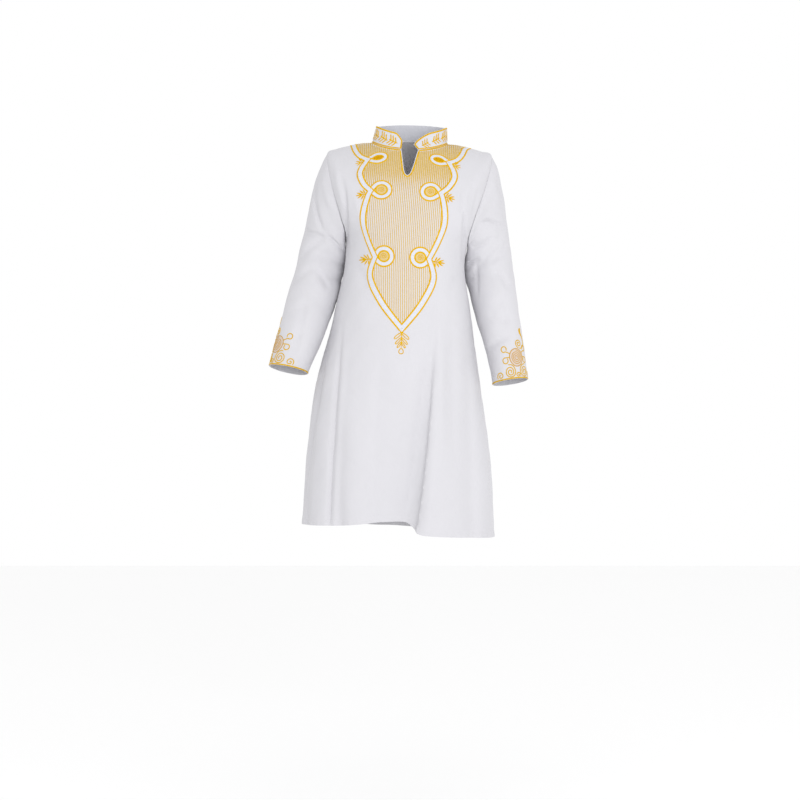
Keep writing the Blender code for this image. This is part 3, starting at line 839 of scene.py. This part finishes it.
def disc(tree, ring, height, rings=6):
    """A domed patch of stitches inside a closed line on a surface."""
    centre = ring.mean(axis=0)
    flat, share = ring - centre, np.linspace(1, 0.04, rings)[:, None, None]
    points, out = snapped(tree, centre + flat * share)
    points = points + out * ((height + SUNK) * (1 - share ** 6) ** 0.5 - SUNK)
    faces = grid_faces(numbered(points), closed=True)
    points = points.reshape(-1, 3)
    a, b, c = points[faces[0, :3]]
    if np.cross(b - a, c - a) @ out[0, 0] < 0:
        faces = faces[:, ::-1]
    uv = np.stack((flat[:, 0] + flat[:, 1], flat[:, 2]), -1) * share
    return points, faces, uv.reshape(-1, 2)


def gathered(name, parts, material):
    """Strips and patches as one piece."""
    points, faces, places = zip(*parts)
    starts = np.cumsum([0] + [len(own) for own in points[:-1]])
    faces = np.concatenate([own + start for own, start in zip(faces, starts)])
    return new_piece(name, np.concatenate(points), faces.tolist(), np.concatenate(places), material)


# ---- Chest embroidery ----
# Its places are in millimetres as the camera sees them: out from the motif's middle line, which leans and bows a
# little with the wearer, and down from the foot of the neck slit. Both sides have the same design.

MIDDLE_X, MIDDLE_Z = -2.3, -60.0
LEAN = math.radians(2.24)
BOW, BOW_TOP, BOW_FOOT = -6.2, -30, 360
CORD_HALF, CORD_HEIGHT = 2.2 * MM, 1.05 * MM
SATIN_HEIGHT = 0.65 * MM
BAND_STEP = 1.5
SAME_STRAND = 30 * MM

Way = namedtuple("Way", "out down half")
Loop = namedtuple("Loop", "out down wide tall tilt half")
BAND = (
    Way(126.5, -61.0, 5.6), Way(121.0, -48.0, 5.6), Way(110.5, -36.5, 5.6), Way(92.5, -29.5, 5.4),
    Loop(69.0, -34.8, 16.6, 8.4, 14, 4.6),
    Way(92.5, -29.5, 5.4), Way(107.8, 1.0, 6.2), Way(98.0, 25.0, 6.0), Way(80.0, 41.0, 5.4),
    Loop(55.8, 38.0, 18.6, 16.0, 0, 4.9),
    Way(80.0, 41.0, 5.4), Way(87.0, 58.0, 6.0), Way(92.7, 112.0, 6.4), Way(61.5, 191.5, 5.6),
    Loop(41.4, 189.0, 17.8, 17.8, 0, 5.2),
    Way(61.5, 191.5, 5.6), Way(72.5, 235.0, 6.8), Way(47.0, 292.5, 6.6), Way(0.0, 353.0, 6.0), Way(-6.5, 361.0, 6.0),
)
LOOP_STEPS = range(45, 316, 30)

SPRAYS = table("out down turn size", (99.0, -25.0, 16, 0.72), (88.0, 48.0, 14, 0.84), (70.5, 196.5, 8, 0.9))
LEAF = "base_x base_y tip_x tip_y width"
SPRAY_LEAVES = table(
    LEAF,
    (5, 1.5, 9, 13, 4.8), (9, 1.8, 18, 12.5, 5.0), (13, 1.0, 27, 7.5, 4.8), (14, 0, 31, 0, 4.6),
    (13, -1.0, 27, -7.5, 4.8), (9, -1.8, 18, -12.5, 5.0), (5, -1.5, 9, -13, 4.8),
)
SPRAY_STEM, SPRAY_STEM_HALF = 14.5, 2.4
PENDANT_LEAVES = table(
    LEAF,
    (2, 0, 16, 16.5, 5.5), (13, 0, 28, 13.5, 4.6), (23, 0, 36, 9, 3.8),
    (2, 0, 16, -16.5, 5.5), (13, 0, 28, -13.5, 4.6), (23, 0, 36, -9, 3.8),
    (38, 0, 50, 0, 10),
)
PENDANT_DOWN, PENDANT_STEM, PENDANT_STEM_HALF = 360, 38, 1.3

STRIPE_PITCH = 4.3
STRIPE_TOP, STRIPE_FOOT = -68, 352
FILL_GAP = 2.4 * MM
SHOULDER_STEP = 1.5 * MM


def bowed(down):
    """How far the middle line bows aside."""
    return BOW * np.sin(np.clip((down - BOW_TOP) / (BOW_FOOT - BOW_TOP), 0, 1) * math.pi)


def chest_place(out, down):
    """Where the camera sees a place of the chest design, on the plane y = 0, in millimetres."""
    out = out + bowed(down)
    x = MIDDLE_X + out * math.cos(LEAN) - down * math.sin(LEAN)
    return np.stack((x, MIDDLE_Z - out * math.sin(LEAN) - down * math.cos(LEAN)), -1)


def chest_out(points):
    """How far out from the middle line of the chest design points lie."""
    x, z = seen(points)
    dx, dz = x - MIDDLE_X, z - MIDDLE_Z
    return dx * math.cos(LEAN) - dz * math.sin(LEAN) - bowed(-dx * math.sin(LEAN) - dz * math.cos(LEAN))


def on_front(places):
    """The points of the front that the camera sees at places on the plane y = 0, and which of them it meets."""
    eye, points, met = Vector(CAMERA), [], []
    for x, z in places:
        aim = Vector((x * MM, 0, z * MM))
        hit = FRONT_TREE.ray_cast(eye, (aim - eye).normalized())[0]
        met.append(hit is not None)
        points.append(hit if hit is not None else FRONT_TREE.find_nearest(aim)[0])
    return np.array(points), np.array(met)


def carried_back(line, lean, clear_of=None):
    """The places that carry a line on from its first one, back over the shoulder to the front's seam."""
    more = [line[0]]
    while len(more) < 60:
        place, out = snapped(FRONT_TREE, more[-1])
        ahead = np.array((lean, 1.0, 0.0))
        ahead = unit(ahead - out * (ahead @ out))
        after, _ = snapped(FRONT_TREE, place + ahead * SHOULDER_STEP)
        if np.linalg.norm(after - place) < 0.6 * SHOULDER_STEP:
            break
        if clear_of is not None and np.min(np.linalg.norm(clear_of - after, axis=1)) < FILL_GAP:
            break
        more.append(after)
    return np.array(more[:0:-1]).reshape(-1, 3)


def loop_place(loop, x, y):
    """Out and down of a place in a tilted loop, from its middle."""
    tilt = math.radians(loop.tilt)
    return loop.out + x * math.cos(tilt) - y * math.sin(tilt), loop.down + x * math.sin(tilt) + y * math.cos(tilt)


def band_ways():
    """The band's middle line on one side, as rows of out, down, half width and loop number (0 on the strands).

    The number counts in the spacing of the places, which are closer where the band enters a loop.
    """
    rows, number = [], 0
    for row in BAND:
        if isinstance(row, Way):
            rows.append((*row, 0))
            continue
        number += 1
        for step in LOOP_STEPS:
            a = math.radians(step)
            rows.append((*loop_place(row, row.wide * math.cos(a), row.tall * math.sin(a)), row.half, number))
    return smooth_line(rows, BAND_STEP)


def runs_of(keep):
    """The starts and ends of the runs of places to keep."""
    edges = np.flatnonzero(np.diff(np.concatenate([[0], keep.astype(int), [0]])))
    return [(a, b) for a, b in zip(edges[::2], edges[1::2]) if b - a > 3]


def band_parts(side):
    """The satin band and its two gold cords on one side. The outer cord stops where another strand covers it."""
    rows = band_ways()
    line, met = on_front(chest_place(side * rows[:, 0], rows[:, 1]))
    rows, line = rows[met.argmax():], line[met.argmax():]
    ahead = line[0] - line[4]
    back = carried_back(line, np.clip(ahead[0] / max(ahead[1], 0.1 * MM), -0.6, 0.6))
    line = np.concatenate([back, line])
    half = np.concatenate([np.full(len(back), rows[0, 2]), rows[:, 2]]) * MM
    places, across = laid(FRONT_TREE, line)
    run = run_of(places)
    apart = np.abs(run[:, None] - run) > SAME_STRAND
    cords = []
    for edge in (side, -side):
        own, _ = snapped(FRONT_TREE, places + across * (edge * half)[:, None])
        away = np.linalg.norm(own[:, None] - places, axis=2) - half
        covered = ((away < -0.2 * MM) & apart).any(axis=1) & (edge == side)
        beyond = side * chest_out(own) < -0.4
        for a, b in runs_of(~(covered | beyond)):
            cords.append(strip(FRONT_TREE, own[max(a - 1, 0):b + 1], CORD_HALF, CORD_HEIGHT))
    return strip(FRONT_TREE, line, half, SATIN_HEIGHT, 4, 9), cords


def leaf_line(leaf):
    """The outline of a small pointed leaf, closed."""
    turn = np.linspace(0, CIRCLE, 28, endpoint=False)
    base, tip = np.array((leaf.base_x, leaf.base_y)), np.array((leaf.tip_x, leaf.tip_y))
    ahead = (tip - base) / 2
    aside = np.array((-ahead[1], ahead[0])) / np.linalg.norm(ahead) * leaf.width / 2
    wide = np.sin(turn) * (1 + 0.25 * np.cos(turn))
    return base + ahead + np.cos(turn)[:, None] * ahead + wide[:, None] * aside


def spray_parts(out, down, turned, size, leaves, stem, stem_half, outlined=False):
    """A small spray on the chest: a thick stem from its place in its direction, and leaves, full or outlined."""
    ahead = np.array((math.cos(turned), math.sin(turned)))
    aside = np.array((-ahead[1], ahead[0]))

    def line(local):
        local = local[:, :1] * ahead + local[:, 1:] * aside
        return on_front(chest_place(out + local[:, 0], down + local[:, 1]))[0]

    thick = np.linspace(stem_half, stem_half * 0.5, 14) * size * MM
    parts = [strip(FRONT_TREE, line(np.outer(np.linspace(0, stem * size, 14), (1, 0))), thick, 0.8 * MM)]
    for leaf in leaves:
        if outlined:
            parts.append(strip(FRONT_TREE, line(leaf_line(leaf) * size), 1.2 * MM, 0.65 * MM, closed=True))
            continue
        way = np.linspace((leaf.base_x, leaf.base_y), (leaf.tip_x, leaf.tip_y), 12) * size
        full = (0.9 + np.sin(np.linspace(0.3, math.pi, 12)) * (leaf.width / 2 - 0.9)) * size * MM
        parts.append(strip(FRONT_TREE, line(way), full, 0.7 * MM))
    return parts


def chest_sprays():
    """The sprays outside the band's corners and the pendant under its tip."""
    parts = []
    for side in (1, -1):
        for spray in SPRAYS:
            turned = math.radians(spray.turn if side > 0 else 180 - spray.turn)
            parts += spray_parts(
                side * spray.out, spray.down, turned, spray.size, SPRAY_LEAVES, SPRAY_STEM, SPRAY_STEM_HALF)
    return parts + spray_parts(
        0, PENDANT_DOWN, math.pi / 2, 1.0, PENDANT_LEAVES, PENDANT_STEM, PENDANT_STEM_HALF, True)


def loop_insides():
    """The patches inside the loops, each with a coil of thread on it. The top loops' are deep gold, dark enough to
    paint the shade round and between the coil's turns; the rest are pale.
    """
    deep, pale, coils = [], [], []
    turn = np.linspace(0, CIRCLE, 40, endpoint=False)
    for side in (1, -1):
        for loop in (row for row in BAND if isinstance(row, Loop)):
            squeeze = loop.tall / loop.wide
            radius = loop.wide - loop.half + 1.5

            def ring(angle, share):
                x, y = radius * share * np.cos(angle), radius * squeeze * share * np.sin(angle)
                out, down = loop_place(loop, x, y)
                return on_front(chest_place(side * out, down))[0]

            wide = squeeze > 0.7
            if wide:
                coils.append(strip(FRONT_TREE, ring(turn, 0.8), 1.25 * MM, 1.0 * MM, closed=True))
            wind = np.linspace(0.6, CIRCLE * (2.1 if wide else 2.6), 90)
            (pale if wide else deep).append(disc(FRONT_TREE, ring(turn, 1), 0.5 * MM))
            coils.append(strip(FRONT_TREE, ring(wind, (0.5 if wide else 0.66) * wind / wind[-1]), 0.95 * MM, 1.1 * MM))
    return deep, pale, coils


def outline_half(down):
    """Half the width of the area that the band frames, at places down from the slit's foot."""
    rows = np.array([(way.down, way.out) for way in BAND if isinstance(way, Way)])
    rows = rows[np.argsort(rows[:, 0], kind="stable")]
    return np.interp(down, rows[:, 0], rows[:, 1])


def stitch_lines():
    """Upright lines of stitches that fill the framed area, thicker and closer to each other at the top."""
    levels = np.linspace(0, SLIT_FOOT, 60)
    edge = np.concatenate([*(body_point(slit_angle(side, levels), levels) for side in (1, -1)), NECK_LINE])
    parts = []
    downs = np.arange(STRIPE_TOP, STRIPE_FOOT, 1.5)
    for number in range(-30, 30):
        out = (number + 0.5) * STRIPE_PITCH
        points, met = on_front(chest_place(out, downs))
        gap = np.min(np.linalg.norm(points[:, None] - edge, axis=2), axis=1)
        keep = met & (np.abs(out) < outline_half(downs)) & (gap > FILL_GAP)
        for a, b in runs_of(keep):
            line, thick = points[a:b:2], ((1.1 + 1.34 / (1 + np.exp((downs[a:b] - 13) / 10))) * MM)[::2]
            if a == 0 or not met[a - 1]:
                back = carried_back(line, 0.0, edge)
                line = np.concatenate([back, line])
                thick = np.concatenate([np.full(len(back), thick[0]), thick])
            parts.append(strip(FRONT_TREE, line, thick, 0.42 * MM, columns=4))
    return parts


(LEFT_SATIN, LEFT_CORDS), (RIGHT_SATIN, RIGHT_CORDS) = band_parts(1), band_parts(-1)
DEEP_PATCHES_AND_SHADE, PALE_PATCHES, COILS = loop_insides()
CHEST_PIECES = [
    gathered("chest_satin_band", [LEFT_SATIN, RIGHT_SATIN], SATIN),
    gathered("chest_gold_cords", LEFT_CORDS + RIGHT_CORDS, GOLD),
    gathered("chest_deep_patches_and_shade", DEEP_PATCHES_AND_SHADE, DEEP_GOLD_AND_SHADE),
    gathered("chest_pale_patches", PALE_PATCHES, FIELD_GOLD),
    gathered("chest_coils", COILS, YELLOW),
    gathered("chest_sprays", chest_sprays(), GOLD),
    gathered("chest_stitch_lines", stitch_lines(), FILL_GOLD),
]

# ---- Neck and collar ----
# Places on the collar are in millimetres: along it from one of its front ends, and up from its seam.

COLLAR_ANGLES = np.linspace(collar_end(1), collar_end(-1) - CIRCLE, 400)
COLLAR_RUN = run_of(collar_point(COLLAR_ANGLES, 0.4)) / MM
COLLAR_LENGTH = COLLAR_RUN[-1]
CORD_INSET = 1.9
SPRIG = "along up turn size"
SPRIGS = {
    1: table(SPRIG, (22, 12.0, 22, 0.80), (50, 17.5, 14, 0.95)),
    -1: table(SPRIG, (23, 16.0, 14, 0.98), (49, 18.0, 14, 1.0)),
}
SPRIG_PITCH = 27.5
SPINE = 24.0
BARBS = (4.0, 11.0, 18.0)
BARB_LENGTH, BARB_ANGLE = 15.0, math.radians(58)
NECK_CORD_LEVEL = 0.105
NECK_CORD_END = 0.002
NECK_CORD_BY_SLIT = 0.024


def slit_line(margin):
    """A line beside the edge of the neck slit, from the wearer's right side of it down round its foot and up."""
    foot = SLIT_FOOT + margin / 0.037
    levels = foot * (1 - (1 - np.linspace(0.042, 1, 60)) ** 2)
    right, left = (body_point(slit_angle(side, levels, margin, foot), levels) for side in (-1, 1))
    return evenly(np.concatenate([right, left[-2::-1]]), STITCH)


def on_collar(side, along, up):
    """Points of the collar at places along it from its front end on one side."""
    angle = np.interp(along if side > 0 else COLLAR_LENGTH - along, COLLAR_RUN, COLLAR_ANGLES)
    return collar_point(angle, up * MM / collar_height(angle)[0])


def collar_sprigs():
    """The row of small feathery sprigs round the collar, all pointing to its front."""
    parts = []
    for side, shown in SPRIGS.items():
        last = shown[-1].along
        count = int((COLLAR_LENGTH / 2 - last) / SPRIG_PITCH)
        hidden = table(SPRIG, *((last + SPRIG_PITCH * (k + 1), 19, 10, 1.0) for k in range(count)))
        for sprig in shown + hidden:
            turned = math.radians(sprig.turn)
            back = np.array((math.cos(turned), math.sin(turned))) * sprig.size
            rise = np.array((-back[1], back[0]))

            def line(start, end, count):
                way = np.linspace(start, end, count)
                local = (way[:, :1] - SPINE / 2) * back + way[:, 1:] * rise
                return on_collar(side, sprig.along + local[:, 0], sprig.up + local[:, 1])

            parts.append(strip(COLLAR_TREE, line((0, 0), (SPINE, 0), 16), 1.6 * MM * sprig.size, 0.8 * MM))
            for at in BARBS:
                length = BARB_LENGTH * (0.75 + 0.25 * math.sin(at / SPINE * math.pi))
                for way in (1, -1):
                    end = (at + length * math.cos(BARB_ANGLE), way * length * math.sin(BARB_ANGLE))
                    parts.append(strip(COLLAR_TREE, line((at, 0), end, 9), 1.75 * MM * sprig.size, 0.7 * MM))
    return parts


def collar_cords():
    """The gold cords along the collar's edges."""
    run = np.linspace(CORD_INSET, COLLAR_LENGTH - CORD_INSET, 420)
    top = collar_height(np.interp(run, COLLAR_RUN, COLLAR_ANGLES))[0] / MM - CORD_INSET
    places = np.concatenate([
        np.stack((np.full(8, run[0]), np.linspace(0.8, top[0], 8, endpoint=False)), -1),
        np.stack((run, top), -1),
        np.stack((np.full(8, run[-1]), np.linspace(top[-1], 0.8, 9)[1:]), -1),
    ])
    edge = evenly(on_collar(1, places[:, 0], places[:, 1]), STITCH)
    foot = evenly(on_collar(1, run, 2.2), STITCH)
    return [strip(COLLAR_TREE, edge, 2.1 * MM, 0.9 * MM), strip(COLLAR_TREE, foot, 1.7 * MM, 0.75 * MM)]


def neck_cord(tree, start, end, count):
    """A part of the gold cord under the collar's seam, from one angle to another."""
    line = body_point(np.linspace(start, end, count), NECK_CORD_LEVEL)
    return strip(tree, evenly(line, STITCH), 2.2 * MM, 0.9 * MM)


def neck_cords():
    """The gold cord that runs round the slit and round under the collar's seam."""
    parts = [strip(FRONT_TREE, slit_line(3.3 * MM), 2.0 * MM, 0.95 * MM)]
    for side, start in ((1, NECK_CORD_END), (-1, math.pi - NECK_CORD_END)):
        last = slit_angle(side, NECK_CORD_LEVEL) - side * NECK_CORD_BY_SLIT
        parts.append(neck_cord(FRONT_TREE, start, last, 120))
    return parts + [neck_cord(BACK_TREE, -NECK_CORD_END, -math.pi + NECK_CORD_END, 200)]


COLLAR_PIECES = [
    gathered("collar_sprigs", collar_sprigs(), GOLD),
    gathered("collar_cords", collar_cords(), GOLD),
]
CHEST_PIECES += [
    gathered("neck_cords", neck_cords(), GOLD),
    gathered("slit_piping", [strip(FRONT_TREE, slit_line(0.9 * MM), 0.95 * MM, 0.75 * MM)], SATIN),
]

# ---- Cuffs ----
# Places are in millimetres: round the cuff from the motif's middle line, and up from the hem. Each motif is the
# same on both sides of that line, which lies near the outer edge as the camera sees it.

CUFF_RADIUS = 45.5
CUFF_AXIS = {1: math.radians(64), -1: math.radians(35)}
MEDALLION, MEDALLION_RADIUS = np.array((-1, 48.5)), 18.2
Curl = namedtuple("Curl", "round up radius turns start way")
CURLS = (
    Curl(19.5, 19.8, 15.0, 2.5, 75, 1), Curl(-21.5, 19.8, 15.0, 2.5, 105, -1),
    Curl(46, 14.0, 9.6, 1.5, -40, 1), Curl(-48, 14.0, 9.6, 1.5, 220, -1),
    Curl(-1, 11.5, 7.0, 1.5, 215, -1),
    Curl(-12.5, 76.8, 9.2, 1.8, -80, 1),
)
MEDALLION_COIL = Curl(*MEDALLION, MEDALLION_RADIUS - 3.0, 3.4, 90, 1)
HOOPS = table(
    "round up radius start way",
    (28, 67.5, 6.3, 240, 1), (-28, 67.5, 6.3, -60, -1), (28, 43.5, 6.3, 110, -1), (-28, 43.5, 6.3, 70, 1))
STEM, FINIAL = table(
    "x0 y0 x1 y1 x2 y2 x3 y3",
    (-13, 66.5, -24, 69, -31, 77, -30.5, 86), (-30.5, 86, -28.5, 93, -24, 100, -25.5, 109))
EDGE_UP = 3.0


def on_cuff(side, places):
    """Points of a cuff at places (round, up) of its motif."""
    around = CUFF_AXIS[side] + places[:, 0] / CUFF_RADIUS
    section = np.linalg.norm(sleeve_point(side, around, CUFF) - sleeve_point(side, around, CUFF - 1.0), axis=1) / MM
    return sleeve_point(side, around, CUFF - places[:, 1] / section)


def round_place(row, radius, turned):
    """Places round the middle of a curl or a hoop."""
    return np.stack((row.round + radius * np.cos(turned), row.up + radius * np.sin(turned)), -1)


def coil_line(curl):
    """A coil from its outer end to its middle."""
    share = np.linspace(1, 0.12, int(30 * curl.turns) + 8)
    turned = math.radians(curl.start) + curl.way * (1 - share) / 0.88 * curl.turns * 2 * math.pi
    return round_place(curl, curl.radius * share, turned)


def hoop_line(hoop):
    """A small open hoop and the short stem from its gap to the medallion's rim."""
    turned = math.radians(hoop.start) + hoop.way * np.linspace(0, CIRCLE - 0.5, 31)
    places = round_place(hoop, hoop.radius, turned)
    ahead = places[0] - MEDALLION
    rim = MEDALLION + ahead * MEDALLION_RADIUS / np.linalg.norm(ahead)
    return smooth_line(np.concatenate([rim[None], places[::5]]), 1.2)


def stem_line(stem):
    """A short curved stem through four places."""
    return smooth_line(np.array(stem).reshape(4, 2), 1.2)


def cuff_parts(side):
    """One cuff's coils and stems, its medallion and the medallion's ground."""
    tree = TREES[side]

    def line(places):
        return evenly(on_cuff(side, places), 1.1 * MM)

    lines = [*map(coil_line, CURLS), *map(hoop_line, HOOPS), stem_line(STEM)]
    gold = [strip(tree, line(places), 1.32 * MM, 0.8 * MM) for places in lines]
    finial = line(stem_line(FINIAL))
    gold.append(strip(tree, finial, np.linspace(1.5, 6.2, len(finial)) * MM, 1.0 * MM))
    turn = np.linspace(0, CIRCLE * CUFF_RADIUS, 260, endpoint=False)
    edge = on_cuff(side, np.stack((turn, np.full(260, EDGE_UP)), -1))
    gold.append(strip(tree, edge, 1.8 * MM, 0.95 * MM, closed=True))
    rim = on_cuff(side, round_place(MEDALLION_COIL, MEDALLION_RADIUS, np.linspace(0, CIRCLE, 60, endpoint=False)))
    medallion = [
        strip(tree, line(coil_line(MEDALLION_COIL)), 1.1 * MM, 0.8 * MM),
        strip(tree, rim, 1.2 * MM, 0.8 * MM, closed=True)]
    return gold, medallion, [disc(tree, rim, 0.2 * MM, 12)]


for side, name in ((1, "left"), (-1, "right")):
    gold, medallion, ground = cuff_parts(side)
    gathered(f"cuff_{name}_scrolls", gold, CUFF_GOLD)
    gathered(f"cuff_{name}_medallion", medallion, BEIGE_GOLD)
    gathered(f"cuff_{name}_ground", ground, PEACH)

# ---- Camera, floor and light ----

scene = bpy.context.scene
eye = bpy.data.cameras.new("camera")
eye.lens = 85
eye.sensor_width = 36
scene.camera = added("camera", eye)
scene.camera.location = CAMERA
scene.camera.rotation_euler = (math.pi / 2, 0, 0)

FLOOR_HALF, FLOOR_Z = 6, -1.48
floor_mesh = bpy.data.meshes.new("floor")
floor_mesh.from_pydata(
    [(x * FLOOR_HALF, y * FLOOR_HALF, FLOOR_Z) for x, y in ((-1, -1), (1, -1), (1, 1), (-1, 1))], [], [(0, 1, 2, 3)])
floor_material, floor_tree, floor_inputs = new_material("floor_paint", (0.96, 0.96, 0.96), 0.9, 0, 0.2)
speckle = node(floor_tree, "TexNoise", {"Scale": 3.0})["Fac"]
fill(floor_tree, floor_inputs, {
    "Base Color": mixed_colour(floor_tree, speckle, (0.955, 0.955, 0.955), (0.965, 0.965, 0.965))})
floor_mesh.materials.append(floor_material)
added("floor", floor_mesh)

scene.world = bpy.data.worlds.new("studio")
scene.world.use_nodes = True
fill(scene.world.node_tree, scene.world.node_tree.nodes["Background"].inputs, {"Color": (1, 1, 1), "Strength": 1.0})

KEY_PLACE, KEY_AIM = (1.1, -4.2, -0.1), (0, 0, -0.4)
lamp = bpy.data.lights.new("key", "AREA")
lamp.size = 1.8
lamp.energy = 62
key = added("key", lamp)
key.location = KEY_PLACE
key.rotation_euler = (Vector(KEY_AIM) - Vector(KEY_PLACE)).to_track_quat("-Z", "Y").to_euler()
scene.view_settings.view_transform = "Standard"
scene.view_settings.look = "None"
